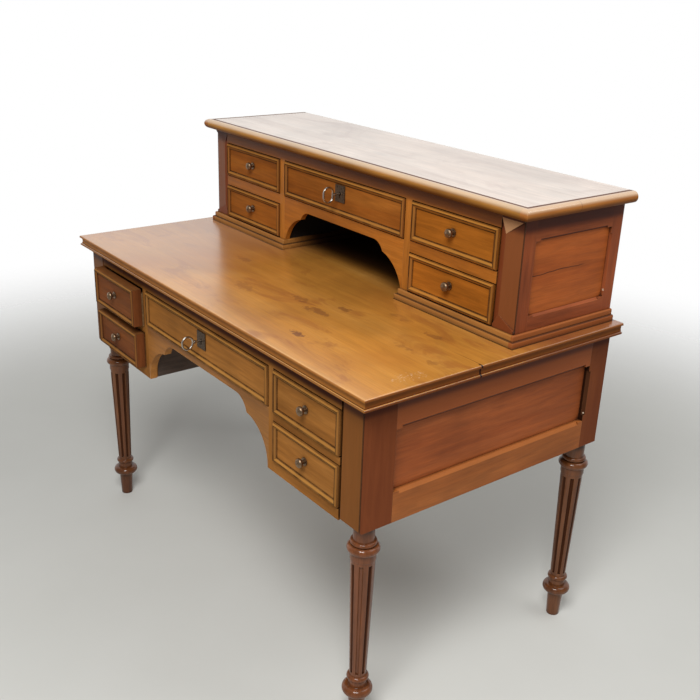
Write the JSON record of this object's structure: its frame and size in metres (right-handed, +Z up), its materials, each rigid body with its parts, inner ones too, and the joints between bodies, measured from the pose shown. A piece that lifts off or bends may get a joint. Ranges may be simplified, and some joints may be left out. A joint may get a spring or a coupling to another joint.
{
  "type": "bonheur du jour",
  "caption": "Writing desk on turned fluted legs, with a scalloped kneehole, drawers in the pedestals and a raised gradin of small drawers over a pigeonhole.",
  "frame": {"origin": "on the floor, under the middle of the whole object's box", "axes": "+Z up, +X to the right of a person facing the drawers, -Y towards that person"},
  "size_m": [1.216, 0.727, 1.045],
  "materials": {
    "carcass_wood": "waxed varnish",
    "drawer_wood": "waxed varnish",
    "top_wood": "worn varnish",
    "leg_wood": "gloss varnish",
    "inner_wood": "raw",
    "knob_brass": "aged",
    "lock_iron": "dark patina",
    "key_steel": "worn"
  },
  "bodies": {
    "carcass": {"desk_top": "top_wood", "left_front_leg": "leg_wood", "right_front_leg": "leg_wood", "left_back_leg": "leg_wood", "right_back_leg": "leg_wood", "desk_left_side_rails": "carcass_wood", "desk_right_side_rails": "carcass_wood", "desk_left_side_panel": "carcass_wood", "desk_right_side_panel": "carcass_wood", "desk_front_frame": "carcass_wood", "kneehole_apron": "carcass_wood", "kneehole_walls": "carcass_wood", "desk_back_boards": "inner_wood", "desk_drawer_runners": "inner_wood", "gradin_left_side_frame": "carcass_wood", "gradin_right_side_frame": "carcass_wood", "gradin_side_panels": "carcass_wood", "gradin_front_frame": "carcass_wood", "pigeonhole_apron": "carcass_wood", "gradin_back_board": "inner_wood", "gradin_inner_boards": "inner_wood", "gradin_top_board": "top_wood", "gradin_top_moulding": "carcass_wood", "gradin_plinth": "carcass_wood"},
    "desk_left_upper_drawer": {"desk_left_upper_drawer_front": "drawer_wood", "desk_left_upper_drawer_box": "inner_wood", "desk_left_upper_drawer_knob": "knob_brass"},
    "desk_left_lower_drawer": {"desk_left_lower_drawer_front": "drawer_wood", "desk_left_lower_drawer_box": "inner_wood", "desk_left_lower_drawer_knob": "knob_brass"},
    "desk_right_upper_drawer": {"desk_right_upper_drawer_front": "drawer_wood", "desk_right_upper_drawer_box": "inner_wood", "desk_right_upper_drawer_knob": "knob_brass"},
    "desk_right_lower_drawer": {"desk_right_lower_drawer_front": "drawer_wood", "desk_right_lower_drawer_box": "inner_wood", "desk_right_lower_drawer_knob": "knob_brass"},
    "gradin_left_upper_drawer": {"gradin_left_upper_drawer_front": "drawer_wood", "gradin_left_upper_drawer_box": "inner_wood", "gradin_left_upper_drawer_knob": "knob_brass"},
    "gradin_left_lower_drawer": {"gradin_left_lower_drawer_front": "drawer_wood", "gradin_left_lower_drawer_box": "inner_wood", "gradin_left_lower_drawer_knob": "knob_brass"},
    "gradin_right_upper_drawer": {"gradin_right_upper_drawer_front": "drawer_wood", "gradin_right_upper_drawer_box": "inner_wood", "gradin_right_upper_drawer_knob": "knob_brass"},
    "gradin_right_lower_drawer": {"gradin_right_lower_drawer_front": "drawer_wood", "gradin_right_lower_drawer_box": "inner_wood", "gradin_right_lower_drawer_knob": "knob_brass"},
    "desk_centre_drawer": {"desk_centre_drawer_front": "drawer_wood", "desk_centre_drawer_box": "inner_wood", "desk_centre_drawer_lock_plate": "lock_iron", "desk_centre_drawer_lock_case": "lock_iron"},
    "desk_key": {"desk_centre_drawer_key": "key_steel"},
    "desk_bolt": {"desk_centre_drawer_lock_bolt": "lock_iron"},
    "gradin_centre_drawer": {"gradin_centre_drawer_front": "drawer_wood", "gradin_centre_drawer_box": "inner_wood", "gradin_centre_drawer_lock_plate": "lock_iron", "gradin_centre_drawer_lock_case": "lock_iron"},
    "gradin_key": {"gradin_centre_drawer_key": "key_steel"},
    "gradin_bolt": {"gradin_centre_drawer_lock_bolt": "lock_iron"}
  },
  "joints": [
    {"name": "desk_left_upper_drawer_slide", "type": "slide", "parent": "carcass", "child": "desk_left_upper_drawer", "axis": [0, -1, 0], "range_m": [-0.024, 0.376]},
    {"name": "desk_left_lower_drawer_slide", "type": "slide", "parent": "carcass", "child": "desk_left_lower_drawer", "axis": [0, -1, 0], "range_m": [-0.02, 0.38]},
    {"name": "desk_right_upper_drawer_slide", "type": "slide", "parent": "carcass", "child": "desk_right_upper_drawer", "axis": [0, -1, 0], "range_m": [0, 0.4]},
    {"name": "desk_right_lower_drawer_slide", "type": "slide", "parent": "carcass", "child": "desk_right_lower_drawer", "axis": [0, -1, 0], "range_m": [0, 0.4]},
    {"name": "gradin_left_upper_drawer_slide", "type": "slide", "parent": "carcass", "child": "gradin_left_upper_drawer", "axis": [0, -1, 0], "range_m": [0, 0.18]},
    {"name": "gradin_left_lower_drawer_slide", "type": "slide", "parent": "carcass", "child": "gradin_left_lower_drawer", "axis": [0, -1, 0], "range_m": [0, 0.18]},
    {"name": "gradin_right_upper_drawer_slide", "type": "slide", "parent": "carcass", "child": "gradin_right_upper_drawer", "axis": [0, -1, 0], "range_m": [0, 0.18]},
    {"name": "gradin_right_lower_drawer_slide", "type": "slide", "parent": "carcass", "child": "gradin_right_lower_drawer", "axis": [0, -1, 0], "range_m": [0, 0.18]},
    {"name": "desk_centre_drawer_slide", "type": "slide", "parent": "carcass", "child": "desk_centre_drawer", "axis": [0, -1, 0], "range_m": [0, 0.4]},
    {"name": "desk_key_turn", "type": "hinge", "parent": "desk_centre_drawer", "child": "desk_key", "pos_m": [0, -0.3135, 0.667], "axis": [0, 1, 0], "range_deg": [0, 180]},
    {"name": "desk_bolt_slide", "type": "slide", "parent": "desk_centre_drawer", "child": "desk_bolt", "axis": [0, 0, 1], "range_m": [0, 0.0091]},
    {"name": "gradin_centre_drawer_slide", "type": "slide", "parent": "carcass", "child": "gradin_centre_drawer", "axis": [0, -1, 0], "range_m": [0, 0.18]},
    {"name": "gradin_key_turn", "type": "hinge", "parent": "gradin_centre_drawer", "child": "gradin_key", "pos_m": [0, 0.0605, 0.9545], "axis": [0, 1, 0], "range_deg": [0, 180]},
    {"name": "gradin_bolt_slide", "type": "slide", "parent": "gradin_centre_drawer", "child": "gradin_bolt", "axis": [0, 0, 1], "range_m": [0, 0.0091]}
  ],
  "couplings": [
    {"joint": "desk_bolt_slide", "follows": "desk_key_turn", "m_per_rad": 0.0028648},
    {"joint": "gradin_bolt_slide", "follows": "gradin_key_turn", "m_per_rad": 0.0028648}
  ]
}
